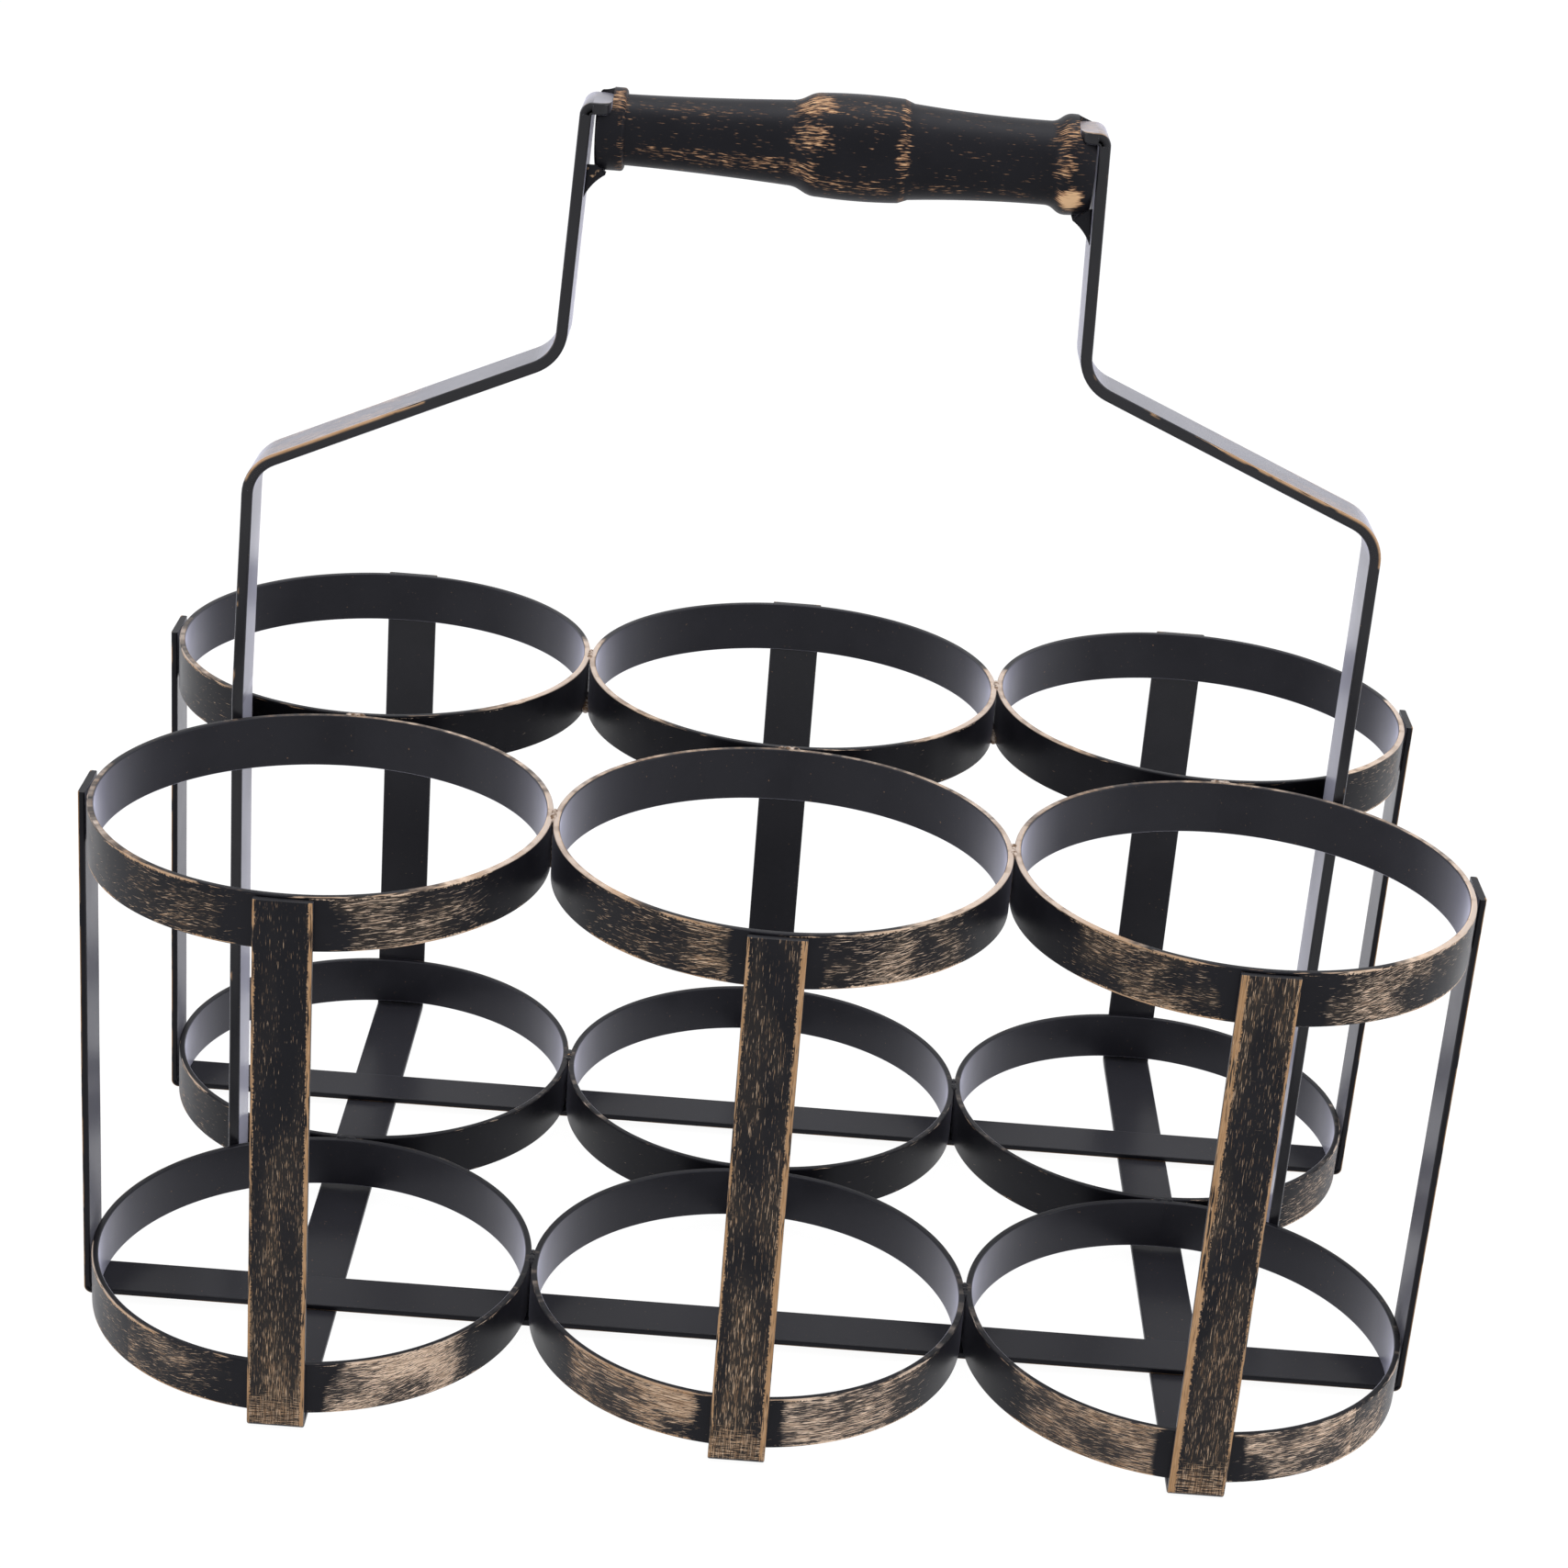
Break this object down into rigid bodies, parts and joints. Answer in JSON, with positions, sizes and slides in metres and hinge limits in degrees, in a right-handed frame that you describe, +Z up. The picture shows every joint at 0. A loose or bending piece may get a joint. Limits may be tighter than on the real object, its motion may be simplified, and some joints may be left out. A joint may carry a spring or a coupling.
{
  "type": "bottle caddy",
  "caption": "Open bottle caddy of welded flat-bar rings in two rows, hung in U straps, with a tall bent handle and a turned wooden grip.",
  "frame": {"origin": "on the table, under the middle of the basket", "axes": "+X along the three columns, to the right seen from the front; +Y from the front row to the rear row; +Z up"},
  "size_m": [0.2948, 0.1976, 0.269],
  "materials": {
    "antiqued_black_steel": "satin black paint with dry-brushed antique gold along the edges",
    "blackened_wood": "turned wood under satin black paint, worn to bronze at its shoulders"
  },
  "bodies": {
    "root": {"lower_ring_front_left": "antiqued_black_steel", "lower_ring_front_middle": "antiqued_black_steel", "lower_ring_front_right": "antiqued_black_steel", "lower_ring_rear_left": "antiqued_black_steel", "lower_ring_rear_middle": "antiqued_black_steel", "lower_ring_rear_right": "antiqued_black_steel", "lower_ring_welds": "antiqued_black_steel", "upper_ring_front_left": "antiqued_black_steel", "upper_ring_front_middle": "antiqued_black_steel", "upper_ring_front_right": "antiqued_black_steel", "upper_ring_rear_left": "antiqued_black_steel", "upper_ring_rear_middle": "antiqued_black_steel", "upper_ring_rear_right": "antiqued_black_steel", "upper_ring_welds": "antiqued_black_steel", "column_strap_left": "antiqued_black_steel", "column_strap_middle": "antiqued_black_steel", "column_strap_right": "antiqued_black_steel", "row_strap_front": "antiqued_black_steel", "row_strap_rear": "antiqued_black_steel", "handle_arm_left": "antiqued_black_steel", "grip_brace_left": "antiqued_black_steel", "handle_arm_right": "antiqued_black_steel", "grip_brace_right": "antiqued_black_steel", "handle_arm_welds": "antiqued_black_steel", "wooden_grip": "blackened_wood"}
  },
  "joints": []
}
